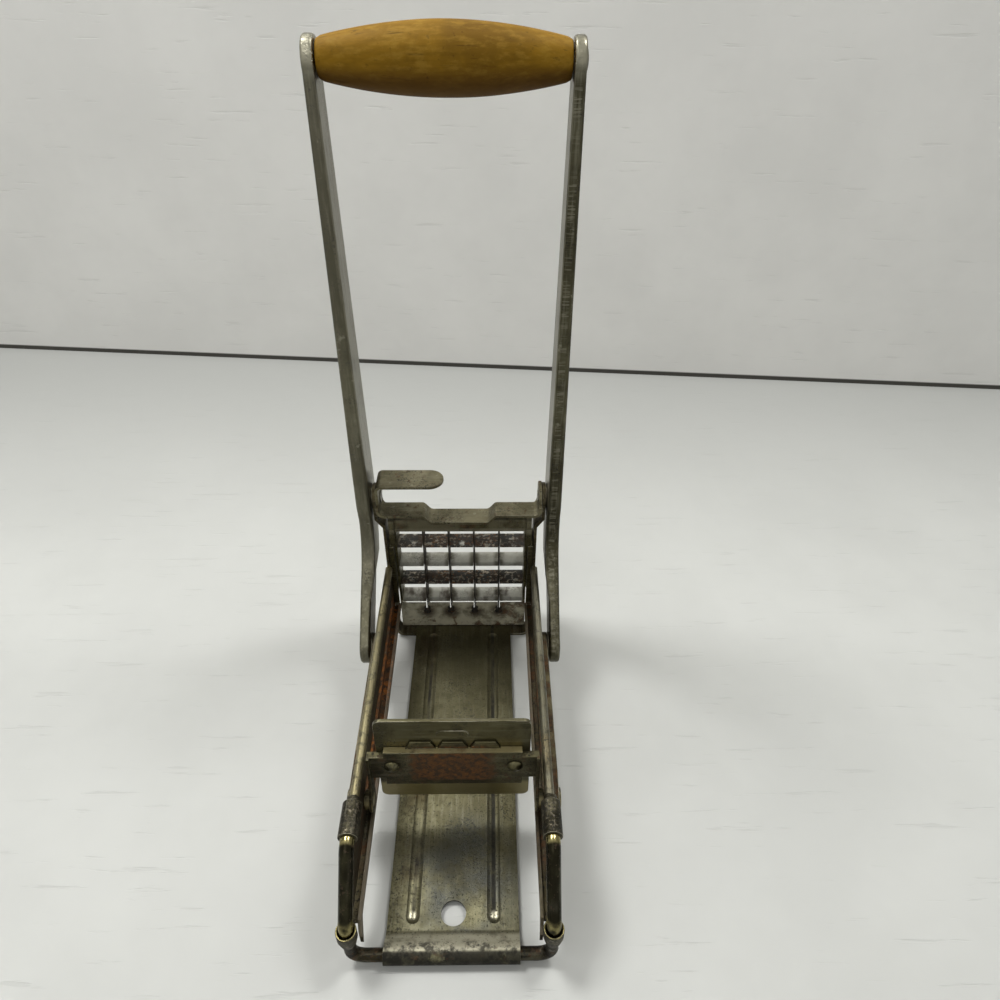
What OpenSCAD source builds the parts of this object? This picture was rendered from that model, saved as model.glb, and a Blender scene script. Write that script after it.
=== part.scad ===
// Lever-operated french fry cutter.
// Frame: +Z up, X across, +Y from the hand end to the blade end.
// Origin: on the table, on the centre line, half way between the rolled near edge
// and the back of the grip.

/* [Fries] */
// Pitch of the cutting blades, which is the size of one fry
cell = 12.75; // [11:0.25:13.5]
// Thickness of one blade
blade_t = 0.8; // [0.5:0.1:1]
// Depth of one blade along the cut
blade_depth = 10.4; // [7:0.2:11]

/* [Base] */
// Length from the rolled near edge to the back of the blade end
base_len = 169; // [160:1:180]
// Width of the base plate
base_w = 51; // [44:1:56]
// Thickness of the pressed sheet
sheet = 1.2; // [1:0.1:1.4]
// Outer radius of the rolled near edge
roll_r = 3.6; // [3.5:0.1:4]
// Diameter of the hanging hole
hang_d = 9.8; // [8:0.2:12]
// Distance from the rolled edge to the hanging hole
hang_inset = 15; // [12:0.5:18]
// Spacing of the two pressed grooves
groove_gap = 31.5; // [26:0.5:34]

/* [Side rails] */
// Height of the bead along the top of the rail
rail_top = 47; // [46:0.5:48]
// Height of the lower flange
rail_low = 19.5; // [18.5:0.5:20]
// Radius of the bead
bead_r = 1.8; // [1.6:0.1:1.9]
// Height of the slide slot above the table
slot_z = 27.5; // [26.5:0.5:29]

/* [Hand end] */
// Radius of the bent end rod
rod_r = 2.7; // [2.3:0.1:2.8]
// Radius of the foot tube
tube_r = 2.4; // [2:0.1:2.5]
// Outer radius of the crimped sleeve
sleeve_r = 3.7; // [3.5:0.1:3.8]
// Outer radius of the foot cup
cup_r = 3.8; // [3.7:0.1:4]
// Slope of the end rod below the horizontal
rod_slope = 48; // [46:1:50]

/* [Pusher] */
// Side clearance of the pusher in the blade window
pusher_gap = 1.7; // [1:0.1:2]
// Thickness of the pusher plate
pusher_t = 1.5; // [1.2:0.1:2]
// Distance from the rolled edge to the drive pins with the lever up
pin_inset = 48.5; // [47.5:0.5:50.5]
// Thickness of the riveted cross plate
cross_t = 3; // [2:0.1:3.4]

/* [Lever] */
// Height of the fulcrum above the slide slot
lever_drop = 62.5; // [61:0.5:65]
// Reach of the lower arm towards the hand end
lever_reach = 38.5; // [36:0.5:41]
// Length from the fulcrum to the grip
lever_len = 182; // [160:1:200]
// Width of the lever bars at the fulcrum
bar_w = 20; // [17:0.5:21]
// Thickness of the lever bars at the fulcrum
bar_t = 6.6; // [5:0.1:7]
// Thickness of the lever bars at the grip
tip_t = 4.2; // [3.5:0.1:5]
// Backward lean of the upper lever
lean = 1; // [0:0.5:3]
// Width of the drive links
link_w = 12; // [10:0.5:13]

/* [Grip] */
// Largest diameter of the wooden grip
grip_d = 26; // [22:0.5:30]
// Diameter of the grip at its ends
grip_end_d = 16.4; // [14:0.2:18]

/* [Latch] */
// Width of the latch crossbar along the base
strap_w = 10.8; // [8:0.2:11]
// Height of the step in the crossbar
joggle = 4; // [3:0.2:4.4]
// Width of the thumb tab
tab_w = 13.8; // [11:0.2:14]
// Length of the thumb tab from the left ear
tab_len = 32; // [26:1:36]

/* [Hidden] */
$fn = 64;

columns = 5;
rows = 4;
gap = 0.3;           // space between pieces that move past each other
fit = 0.05;          // radial clearance of a running pin
touch = 0.02;        // space between pieces that are joined by a weld or a crimp

// Stations along the base
fulcrum_run = base_len - 0.5;
y_near = (cup_r - fulcrum_run - lever_len * sin(lean) - grip_d / 2) / 2;
fulcrum_y = y_near + fulcrum_run;
y_far = fulcrum_y + 10.6;
plate_z = 1.6;
grid_y = fulcrum_y - 2.8;
blade_y = grid_y + sheet + 0.2;
grid_back = blade_y + blade_depth;

// Blade window
grid_w = columns * cell;
window_low = rail_low;
window_h = rows * cell - 0.5;
window_top = window_low + window_h;
frame_low = plate_z + sheet + 0.1;
frame_top = window_top + 10;

// Widths from the centre line outwards
frame_x = grid_w / 2 + sheet;
guide_x = frame_x + 0.3;
rail_x = frame_x + 3.2;
rail_out = rail_x + sheet;
bead_x = rail_out - 0.6;
link_t = 2.4;
link_x = rail_out + 2.2;
link_out = link_x + link_t;
crank_x = link_out + 1;      // inner face of the lever bar at the crank
bar_x = crank_x - 1.5;
bar_out = bar_x + bar_t;
tip_x = bar_x + 1.3;
tip_out = tip_x + tip_t;
ear_t = 1.4;
ear_x = bar_x - 0.6 - ear_t;
latch_x = ear_x - gap - ear_t;
latch_out = latch_x + ear_t;
rod_x = rail_out - 0.3;
lip_x = frame_x - 0.3;

// Linkage
fulcrum_z = slot_z + lever_drop;
pin_rest_y = y_near + pin_inset;
crank_y = fulcrum_y - lever_reach;
crank_len = sqrt(pow(lever_drop, 2) + pow(lever_reach, 2));
crank_rest = atan2(lever_reach, lever_drop);
link_len = crank_y - pin_rest_y;
swing = 94.5;
crank_end_y = fulcrum_y + crank_len * sin(swing - crank_rest);
crank_end_z = fulcrum_z - crank_len * cos(swing - crank_rest);
link_end_angle = asin((crank_end_z - slot_z) / link_len);
pin_end_y = crank_end_y - link_len * cos(link_end_angle);
stroke = pin_end_y - pin_rest_y;
pin_r = 2.5;
rivet_r = 3;
flat_head_r = 4.4;
head_t = 0.4;

// Pusher
pusher_x = grid_w / 2 - pusher_gap;
pusher_y = pin_rest_y + 5.8;
pusher_low = window_low + 1.5;
pusher_top = window_top + 0.8;
shoe_t = 1.2;
shoe_x = bead_x - bead_r - gap - shoe_t - 1;

// Colours
plated = [0.44, 0.42, 0.34];
dull = [0.36, 0.35, 0.29];
rusty = [0.35, 0.22, 0.14];
dark = [0.20, 0.19, 0.17];
chrome = [0.66, 0.62, 0.50];
wood = [0.66, 0.42, 0.15];
steel = [0.50, 0.50, 0.47];

// ---------- helpers ----------

// Right-hand piece as drawn, or its mirror image on the left
module on_side(left) {
    if (left) mirror([1, 0, 0]) children();
    else children();
}

// Both the right-hand piece and its mirror image
module both_sides() {
    children();
    mirror([1, 0, 0]) children();
}

// Flat plate: a drawing in (y, z) that starts at x and is t thick
module side_plate(x, t) {
    translate([x, 0, 0]) rotate([90, 0, 90]) linear_extrude(t) children();
}

// Flat plate: a drawing in (x, z) that starts at y and is t thick
module cross_sheet(y, t) {
    translate([0, y + t, 0]) rotate([90, 0, 0]) linear_extrude(t) children();
}

// Cylinder along X between two stations
module pin_x(x1, x2, r, y, z) {
    translate([x1, y, z]) rotate([0, 90, 0]) cylinder(h = x2 - x1, r = r);
}

// Half outline of a rivet head: a short straight rim under a dome
module dome_outline(r, h) {
    rise = h - 0.5;
    ball = (r * r + rise * rise) / (2 * rise);
    intersection() {
        translate([0, h - ball]) circle(ball);
        square([r, h + 1]);
    }
}

// Rivet head on the +X side of a plate face
module dome_x(x, r, h, y, z) {
    translate([x, y, z]) rotate([0, 90, 0]) rotate_extrude() dome_outline(r, h);
}

// Rectangle between two corners with rounded corners
module round_rect(x1, z1, x2, z2, r) {
    difference() {
        translate([x1, z1]) square([x2 - x1, z2 - z1]);
        for (cx = [0, 1], cz = [0, 1])
            translate([cx ? x2 - r : x1 + r, cz ? z2 - r : z1 + r])
                difference() {
                    translate([cx ? 0 : -r - 1, cz ? 0 : -r - 1]) square(r + 1);
                    circle(r);
                }
    }
}

// Straight slot with round ends, centred at height z, from y1 to y2
module slot(y1, y2, z, r) {
    translate([y1, z - r]) square([y2 - y1, 2 * r]);
    translate([y1, z]) circle(r);
    translate([y2, z]) circle(r);
}

// Rod bend in the (y, z) plane about a centre, from angle a1 over da
module bend_yz(x, y, z, bend_r, r, a1, da) {
    translate([x, y, z]) rotate([90, 0, 90]) rotate([0, 0, a1])
        rotate_extrude(angle = da) translate([bend_r, 0]) circle(r);
}

// Straight rod from a point in the (y, z) plane along angle a
module run_yz(x, y, z, a, len, r) {
    translate([x, y, z]) rotate([a - 90, 0, 0]) cylinder(h = len, r = r);
}

// Points on an arc
function arc(cy, cz, r, a1, a2, n = 14) =
    [for (i = [0:n]) let (a = a1 + (a2 - a1) * i / n) [cy + r * cos(a), cz + r * sin(a)]];

// ---------- base ----------

ramp_len = 9;        // the near end of the plate rises to the crown of the curl over this length
groove_half = 2.7;
groove_depth = 0.9;
groove_ball = (groove_half * groove_half + groove_depth * groove_depth) / (2 * groove_depth);

// Long round-ended body whose underside gives the face of a groove pressed into the plate
module groove(x, r) {
    near = y_near + 13.7;
    far = strap_y - groove_half - 0.8;
    translate([x, 0, plate_z + sheet + groove_ball - groove_depth]) {
        translate([0, near, 0]) rotate([-90, 0, 0]) cylinder(h = far - near, r = r);
        for (y = [near, far]) translate([0, y, 0]) sphere(r = r);
    }
}

// The sheet rises from the plate, passes over the foot tube and curls under it
module near_curl() {
    low = plate_z + sheet;
    crown = 2 * roll_r;
    steps = 12;
    function rise(i) = low + (crown - low) * (1 - cos(180 * i / steps)) / 2;
    function run(i) = y_near + ramp_len * (1 - i / steps);
    side_plate(-base_w / 2, base_w) {
        polygon(concat(
            [for (i = [0:steps]) [run(i), rise(i)]],
            [for (i = [steps:-1:0]) [run(i), rise(i) - sheet]]
        ));
        difference() {
            translate([y_near, roll_r]) circle(roll_r);
            translate([y_near, roll_r - 1.8]) square(2 * roll_r);
        }
    }
}

module base_plate() {
    far = grid_y - 0.7;
    near = y_near + ramp_len - 0.5;
    color(plated) difference() {
        union() {
            translate([-base_w / 2, near, plate_z]) cube([base_w, far - near, sheet]);
            for (s = [-1, 1])
                translate([s > 0 ? base_w / 2 - sheet : -base_w / 2, near + 1, plate_z - 1.1])
                    cube([sheet, far - near - 13, 1.2]);
            // the grooves stand out below the plate
            intersection() {
                for (s = [-1, 1]) groove(s * groove_gap / 2, groove_ball + sheet);
                translate([-base_w / 2, y_near, 0]) cube([base_w, base_len, plate_z + 0.1]);
            }
            near_curl();
        }
        for (s = [-1, 1]) groove(s * groove_gap / 2, groove_ball);
        translate([-base_w / 2 - 1, y_near, roll_r]) rotate([0, 90, 0])
            cylinder(h = base_w + 2, r = tube_r + touch);
        translate([0, y_near + hang_inset, -1]) cylinder(h = 8, d = hang_d);
    }
}

foot_bend = 5.5;
cup_z = 15.5;        // bottom of the foot cup
foot_stub = 3;       // straight end of the foot tube inside the cup
neck_in = 0.03;      // straight runs of a bent rod are this much thinner than its bends
lap_in = 0.4;        // and enter them by this much
run_r = rod_r - neck_in;

module foot_tube() {
    turn_x = rod_x - foot_bend;
    turn_z = roll_r + foot_bend;
    color(dark) {
        pin_x(-turn_x, turn_x, tube_r, y_near, roll_r);
        both_sides()
            translate([turn_x, y_near, turn_z]) rotate([90, 0, 0]) rotate([0, 0, -90])
                rotate_extrude(angle = 90) translate([foot_bend, 0]) circle(tube_r);
        both_sides() translate([rod_x, y_near, turn_z - lap_in])
            cylinder(h = cup_z + foot_stub - turn_z + lap_in, r = tube_r - neck_in);
    }
}

strap_y = grid_y - 5.2;
strap_wide = 8;
strap_out = rail_x - 0.1;
strap_bend = 5;

module rear_strap() {
    leg_x = strap_out - plate_z;
    turn_x = strap_out - strap_bend;
    color(dull) {
        translate([-turn_x, strap_y, 0]) cube([2 * turn_x, strap_wide, plate_z]);
        both_sides() {
            translate([leg_x, strap_y, strap_bend])
                cube([plate_z, strap_wide, rail_low - sheet - strap_bend]);
            translate([turn_x, strap_y + strap_wide, strap_bend]) rotate([90, 0, 0])
                rotate([0, 0, -90]) rotate_extrude(angle = 90)
                    translate([strap_bend - plate_z, 0]) square([plate_z, strap_wide]);
        }
    }
}

// ---------- side rails ----------

sleeve_near = y_near + 22;
sleeve_far = sleeve_near + 13.5;
neck_far = sleeve_far + 2.5;
upright_near = fulcrum_y - 6;
ear_far = fulcrum_y + 8;
ear_r = 6.6;
flange_far = grid_y - 1.2;
jog_low = window_top + 5;
jog_top = jog_low + 5;
slot_near = pin_rest_y - 0.3;
slot_far = pin_end_y + 0.5;
slot_r = pin_r + gap;

module rail_web() {
    difference() {
        polygon(concat(
            [[y_far, rail_low - sheet], [y_far, jog_low], [upright_near, jog_low]],
            [[upright_near, rail_top]],
            [[neck_far, rail_top], [neck_far, rail_top - sleeve_r - 0.5]],
            [[sleeve_near + 6, rail_top - sleeve_r - 0.5], [y_near + 20.5, rail_top - 5.5]],
            // follows the back of the end rod down to the foot
            [[y_near + 6.8, cup_z + 11], [y_near + 5, cup_z + 8], [y_near + 5, cup_z - 3.5]],
            [[y_near + 9, cup_z - 5], [y_near + 20, rail_low - sheet]]
        ));
        slot(slot_near, slot_far, slot_z, slot_r);
    }
}

module ear_profile(r) {
    translate([fulcrum_y, fulcrum_z]) circle(r);
    polygon([
        [upright_near, jog_top], [ear_far, jog_top],
        [fulcrum_y + r, fulcrum_z], [fulcrum_y - r, fulcrum_z]
    ]);
}

module side_rail(left) {
    flange_near = y_near + 5;
    color(dull) on_side(left) difference() {
        union() {
            side_plate(rail_x, sheet) rail_web();
            // lower flange with its upturned lip, which runs down to the foot tube
            translate([lip_x + 0.6, flange_near, rail_low - sheet])
                cube([rail_out - lip_x - 0.6, flange_far - flange_near, sheet]);
            side_plate(lip_x, sheet) polygon([
                [flange_far, rail_low - sheet], [flange_far, rail_low + 1.8],
                [flange_near, rail_low + 1.8], [y_near + 3, rail_low - 4],
                [y_near + 3, roll_r + tube_r + 1.4], [flange_near + 3, rail_low - sheet]
            ]);
            // bead
            translate([bead_x, neck_far, rail_top]) rotate([-90, 0, 0])
                cylinder(h = upright_near + 1 - neck_far, r = bead_r);
            // outward step and ear of the upright
            translate([0, y_far, 0]) rotate([90, 0, 0]) linear_extrude(y_far - upright_near)
                polygon([
                    [rail_x, jog_low - 0.1], [rail_out, jog_low - 0.1], [rail_out, jog_low],
                    [ear_x + ear_t, jog_top], [ear_x, jog_top + 0.1], [rail_x, jog_low + 1]
                ]);
            side_plate(ear_x, ear_t) ear_profile(ear_r);
        }
        pin_x(ear_x - 1, ear_x + 3, rivet_r + touch, fulcrum_y, fulcrum_z);
        // keeps the back of the step in line with the ear
        translate([ear_x - 6, ear_far, jog_low + 1]) cube([12, 10, 40]);
    }
}

module sleeve(left) {
    color(dark) on_side(left) translate([rod_x, sleeve_near, rail_top - 0.5])
        rotate([-90, 0, 0]) rotate_extrude() polygon([
            [rod_r + touch, 0], [sleeve_r, 0], [sleeve_r, sleeve_far - sleeve_near],
            [2.4, sleeve_far - sleeve_near + 0.8], [2.4, neck_far - sleeve_near - 0.1],
            [0.4, neck_far - sleeve_near - 0.1], [0.4, 11.5], [rod_r + touch, 11]
        ]);
}

bend_a = 7;
bend_b = 6;
rod_z = rail_top - 0.5;
bend_a_y = sleeve_near - bend_a * sin(rod_slope);
bend_a_z = rod_z - bend_a * (1 - cos(rod_slope));
drop_b = bend_b * tan((90 - rod_slope) / 2);
slope_len = (bend_a_y - y_near) / cos(rod_slope) - drop_b;
turn_b_z = bend_a_z - (bend_a_y - y_near) * tan(rod_slope) - drop_b;
rod_end_z = cup_z + foot_stub + gap;

module end_rod(left) {
    color(chrome) on_side(left) {
        run_yz(rod_x, sleeve_near - lap_in, rod_z, 0, 10.5 + lap_in, run_r);
        bend_yz(rod_x, sleeve_near, rod_z - bend_a, bend_a, rod_r, 90, rod_slope);
        run_yz(rod_x, bend_a_y + lap_in * cos(rod_slope), bend_a_z + lap_in * sin(rod_slope),
               180 + rod_slope, slope_len + 2 * lap_in, run_r);
        bend_yz(rod_x, y_near + bend_b, turn_b_z, bend_b, rod_r, 180 - (90 - rod_slope),
                90 - rod_slope);
        translate([rod_x, y_near, rod_end_z]) cylinder(h = turn_b_z - rod_end_z + lap_in, r = run_r);
    }
}

module foot_cup(left) {
    cup_h = 9;
    wall = 0.6;
    step_z = foot_stub + 0.1;
    color(dark) on_side(left) translate([rod_x, y_near, cup_z]) rotate_extrude() polygon([
        [tube_r + touch, 0], [tube_r + wall, 0], [cup_r, foot_stub + 1], [cup_r, cup_h - 0.4],
        [cup_r - 0.2, cup_h], [cup_r - wall, cup_h], [rod_r + touch, cup_h - 2.5],
        [rod_r + touch, step_z], [tube_r + touch, step_z]
    ]);
}

// ---------- blade cassette ----------

guide_top = window_top - 9;
shoulder_x = rail_x - 1.2;
hood_far = grid_y + 5.2;    // back of the cassette above the blades
hood_z = window_top + 4;
slit_w = blade_t + 0.4;
row_low = window_low + 0.6;   // height of the lowest level blade

module grid_guide(left) {
    color(plated) on_side(left) difference() {
        translate([guide_x, grid_y - 0.2 - sheet, rail_low + 0.1])
            cube([rail_x - guide_x - touch, y_far - grid_y + 0.2 + sheet, guide_top - rail_low]);
        translate([guide_x - 1, grid_y - 0.2, rail_low - 1])
            cube([rail_x - guide_x - sheet + 1, grid_back - grid_y + 0.6, guide_top]);
        translate([guide_x - 1.6, grid_y - 5, guide_top - 0.8]) rotate([0, -45, 0])
            cube([3, 8, 6]);
    }
}

module grid_frame() {
    lug_r = 1.3;
    color(plated) {
        difference() {
            union() {
                cross_sheet(grid_y, sheet) polygon([
                    [-frame_x, frame_low], [frame_x, frame_low], [frame_x, guide_top + 1],
                    [shoulder_x, guide_top + 3], [shoulder_x, frame_top],
                    [-shoulder_x, frame_top], [-shoulder_x, guide_top + 3],
                    [-frame_x, guide_top + 1]
                ]);
                translate([-frame_x, grid_y, frame_low])
                    cube([2 * frame_x, grid_back - grid_y, frame_top - frame_low]);
                // corner lugs that stand on the guides
                both_sides() cross_sheet(grid_y - sheet, sheet) {
                    translate([shoulder_x - 2 * lug_r, guide_top + 0.4 + lug_r])
                        square([2 * lug_r, frame_top - guide_top - 0.4 - lug_r]);
                    translate([shoulder_x - lug_r, guide_top + 0.4 + lug_r]) circle(lug_r);
                }
            }
            translate([-grid_w / 2, grid_y - 1, window_low])
                cube([grid_w, 30, window_h]);
            translate([-grid_w / 2, grid_y + sheet, frame_low + sheet])
                cube([grid_w, 30, frame_top - frame_low - 2 * sheet]);
            translate([-frame_x - 1, hood_far, hood_z]) cube([2 * frame_x + 2, 20, 20]);
            // a slit with a round end below each upright blade
            for (i = [1:columns - 1]) translate([(i - columns / 2) * cell, grid_y - 1, window_low]) {
                translate([0, 0, -5.8]) rotate([-90, 0, 0]) cylinder(h = 3, r = 2);
                translate([-slit_w / 2, 0, -5]) cube([slit_w, 3, 6]);
            }
        }
    }
}

// One blade section across its thickness: a ground front edge and a square back
module blade_section() {
    polygon([
        [-0.1, 0], [0.1, 0], [blade_t / 2, 2.4], [blade_t / 2, blade_depth - 0.2],
        [-blade_t / 2, blade_depth - 0.2], [-blade_t / 2, 2.4]
    ]);
}

blade_low = frame_low + sheet + touch;
blade_top = frame_top - sheet - touch;
lap = blade_t / 2 + 0.04;

module vertical_blades() {
    color(steel) for (i = [1:columns - 1]) {
        x = (i - columns / 2) * cell;
        difference() {
            translate([x, blade_y, blade_low]) linear_extrude(blade_top - blade_low)
                blade_section();
            for (k = [0:rows - 1])
                translate([x - 2, blade_y + blade_depth / 2 - 0.04, row_low + k * cell - lap])
                    cube([4, blade_depth, 2 * lap]);
            translate([x - 2, hood_far - 0.8, hood_z - 0.5]) cube([4, blade_depth, 20]);
        }
    }
}

module horizontal_blades() {
    half = grid_w / 2 - touch;
    color(steel) for (k = [0:rows - 1]) {
        z = row_low + k * cell;
        difference() {
            translate([-half, blade_y, z]) rotate([90, 0, 90]) linear_extrude(2 * half)
                rotate(-90) blade_section();
            for (i = [1:columns - 1])
                translate([(i - columns / 2) * cell - lap, blade_y - 1, z - 2])
                    cube([2 * lap, blade_depth / 2 + 1.04, 4]);
        }
    }
}

// ---------- lever ----------

module fulcrum_rivets() {
    color(steel) both_sides() {
        pin_x(latch_x - 0.5, bar_out + 0.3, rivet_r, fulcrum_y, fulcrum_z);
        pin_x(bar_out + 0.15, bar_out + head_t + 0.15, flat_head_r, fulcrum_y, fulcrum_z);
    }
}

module fulcrum_washers() {
    color(steel) both_sides() difference() {
        pin_x(ear_x + ear_t + touch, bar_x - 0.1, 6, fulcrum_y, fulcrum_z);
        pin_x(ear_x, bar_x + 1, rivet_r + touch, fulcrum_y, fulcrum_z);
    }
}

arm_angle = 46.8;
arm_bend = 40;
arm_half = 8.5;
elbow_z = slot_z + lever_reach / tan(arm_angle);
bend_len = arm_bend * tan(arm_angle / 2);
grip_y = fulcrum_y + lever_len * sin(lean);
grip_z = fulcrum_z + lever_len * cos(lean);
eye_r = 9;
neck_half = 8.2;     // half width of the bar just below the eye

// Front and back edges of the bar are arcs about one centre, joined to the straight arms
module bar_profile() {
    bend_y = fulcrum_y - arm_bend;
    bend_z = elbow_z + bend_len;
    nose = [sin(arm_angle), cos(arm_angle)];
    polygon(concat(
        [[grip_y + neck_half, grip_z], [grip_y - neck_half, grip_z]],
        [[fulcrum_y - bar_w / 2, fulcrum_z]],
        arc(bend_y, bend_z, arm_bend - arm_half, 0, -arm_angle, 12),
        [[crank_y - arm_half * nose[1], slot_z + arm_half * nose[0]]],
        [[crank_y + arm_half * nose[1], slot_z - arm_half * nose[0]]],
        arc(bend_y, bend_z, arm_bend + arm_half, -arm_angle, 0, 12),
        [[fulcrum_y + bar_w / 2, fulcrum_z]]
    ));
    translate([grip_y, grip_z]) circle(eye_r);
    translate([crank_y, slot_z]) circle(arm_half);
}

// Front view of the bar, which thins towards the grip and on the inside towards the crank
module bar_taper() {
    start_z = fulcrum_z - 8;
    arm_z = slot_z + 20.5;
    flat_z = grip_z - eye_r - 2;
    top_z = grip_z + 2 * eye_r;
    side = 0.2;
    polygon([
        [crank_x, 0], [bar_out + side, 0], [bar_out + side, start_z], [tip_out, flat_z],
        [tip_out, top_z], [tip_x, top_z], [tip_x, flat_z], [bar_x - side, start_z],
        [bar_x - side, arm_z + 9], [crank_x, arm_z]
    ]);
}

module lever_bar(left) {
    color(dull) on_side(left) difference() {
        intersection() {
            side_plate(bar_x, bar_t) bar_profile();
            cross_sheet(crank_y - 20, base_len) bar_taper();
        }
        pin_x(bar_x - 1, bar_out + 1, rivet_r + fit, fulcrum_y, fulcrum_z);
        pin_x(bar_x - 1, bar_out + 1, rivet_r + touch, crank_y, slot_z);
        pin_x(bar_x - 1, bar_out + 1, rivet_r + touch, grip_y, grip_z);
    }
}

grip_half = tip_x - 0.3;

// Barrel shape: a cosine swell between the two end diameters
function grip_r(x) = grip_end_d / 2 + (grip_d - grip_end_d) / 2 * pow(cos(90 * x / grip_half), 0.85);

module wood_grip() {
    steps = 24;
    color(wood) difference() {
        translate([-grip_half, grip_y, grip_z]) rotate([0, 90, 0]) rotate_extrude() polygon(concat(
            [[rivet_r + 0.1, 0], [grip_end_d / 2 - 0.8, 0], [grip_end_d / 2, 0.8]],
            [for (i = [1:steps - 1]) let (x = -grip_half + 2 * grip_half * i / steps)
                [grip_r(x), x + grip_half]],
            [[grip_end_d / 2, 2 * grip_half - 0.8], [grip_end_d / 2 - 0.8, 2 * grip_half]],
            [[rivet_r + 0.1, 2 * grip_half]]
        ));
    }
}

module grip_rod() {
    color(steel) {
        pin_x(-tip_out - 0.1, tip_out + 0.1, rivet_r, grip_y, grip_z);
        both_sides() dome_x(tip_out + touch, 3.6, 1, grip_y, grip_z);
    }
}

module crank_rivets() {
    color(steel) both_sides() {
        pin_x(link_out + gap, bar_out + 0.1, rivet_r, crank_y, slot_z);
        pin_x(bar_out + touch, bar_out + head_t, flat_head_r, crank_y, slot_z);
    }
}

module crank_washers() {
    color(steel) both_sides() difference() {
        pin_x(link_out + gap, crank_x - touch, 6.2, crank_y, slot_z);
        pin_x(link_out, crank_x + 1, rivet_r + touch, crank_y, slot_z);
    }
}

module drive_link(left) {
    color(rusty) on_side(left) difference() {
        side_plate(link_x, link_t) slot(pin_rest_y, crank_y, slot_z, link_w / 2);
        pin_x(link_x - 1, link_out + 1, pin_r + fit, pin_rest_y, slot_z);
        pin_x(link_x - 1, link_out + 1, rivet_r + touch, crank_y, slot_z);
    }
}

// Link half of the crank joint: its shank fills the hole, flush with both faces
module link_stud(left) {
    color(steel) on_side(left) {
        pin_x(link_x, link_out - 0.05, rivet_r, crank_y, slot_z);
    }
}

// ---------- pusher ----------

module pusher_plate() {
    oval_z = pusher_top - 7.8;
    color(dull) difference() {
        union() {
            cross_sheet(pusher_y, pusher_t)
                round_rect(-pusher_x, pusher_low, pusher_x, pusher_top, 3);
            // plain raised oval
            cross_sheet(pusher_y - 0.4, 0.5) translate([-4, 0]) slot(0, 8, oval_z, 2.2);
        }
        both_sides() rivet_bore();
    }
}

cross_low = slot_z + 6.5;
cross_top = cross_low + 21;
cross_x = pusher_x - 3.1;
pusher_rivet_x = cross_x - 3;
pusher_rivet_z = cross_low + 12.5;

module rivet_bore() {
    translate([pusher_rivet_x, pusher_y - 5, pusher_rivet_z]) rotate([-90, 0, 0])
        cylinder(h = 10, r = 1.8 + touch);
}

module cross_plate() {
    face_y = pusher_y - cross_t - touch;
    tab_pitch = 12.6;
    tab_h = 4;
    ear_low = cross_low + 4.4;
    ear_top = cross_top - 3;
    shoe_r = 5;
    color(rusty) difference() {
        union() {
            cross_sheet(face_y, cross_t) {
                translate([-cross_x, cross_low]) square([2 * cross_x, cross_top - cross_low]);
                translate([-shoe_x - shoe_t, ear_low])
                    square([2 * (shoe_x + shoe_t), ear_top - ear_low]);
            }
            // locating tabs against the pusher plate
            cross_sheet(pusher_y - 0.9 - touch, 0.9) for (i = [-1:1])
                translate([i * tab_pitch, cross_top - 0.1])
                    polygon([[-5.8, 0], [5.8, 0], [4, tab_h], [-4, tab_h]]);
            // shoes that run inside the rails and carry the drive pins
            both_sides() side_plate(shoe_x, shoe_t)
                polygon(concat(
                    [[pusher_y - touch, ear_top], [face_y - 1, ear_top], [face_y - 2.4, ear_low]],
                    arc(pin_rest_y, slot_z, shoe_r, 168, 345),
                    [[pusher_y - touch, ear_low]]
                ));
        }
        both_sides() {
            pin_x(shoe_x - 1, shoe_x + 3, pin_r + touch, pin_rest_y, slot_z);
            rivet_bore();
        }
    }
}

module pusher_rivets() {
    head_y = pusher_y - cross_t - 2 * touch;
    color(steel) both_sides() {
        translate([pusher_rivet_x, head_y - 0.1, pusher_rivet_z]) rotate([-90, 0, 0])
            cylinder(h = pusher_y + pusher_t - head_y + 0.1, r = 1.8);
        translate([pusher_rivet_x, head_y, pusher_rivet_z]) rotate([90, 0, 0])
            rotate_extrude() dome_outline(3.1, 2);
    }
}

module drive_pins() {
    color(steel) both_sides() {
        pin_x(shoe_x, link_out + 0.2, pin_r, pin_rest_y, slot_z);
        pin_x(link_out + 0.1, link_out + 0.8, 4.2, pin_rest_y, slot_z);
    }
}

module pin_bushes() {
    color(chrome) both_sides() difference() {
        pin_x(shoe_x + shoe_t + touch, rail_x - gap, 4, pin_rest_y, slot_z);
        pin_x(shoe_x, rail_x, pin_r + touch, pin_rest_y, slot_z);
    }
}

// ---------- latch ----------

strap_near = fulcrum_y - 10.1;
strap_low = frame_top + gap;
wing_low = strap_low + joggle;
tab_top = fulcrum_z + 10.4;
corner_r = 4;        // outer bend from a wing into its ear
tab_corner_r = 2.8;  // outer bend from the left ear into the tab
latch_ear_r = 7.2;

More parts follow.
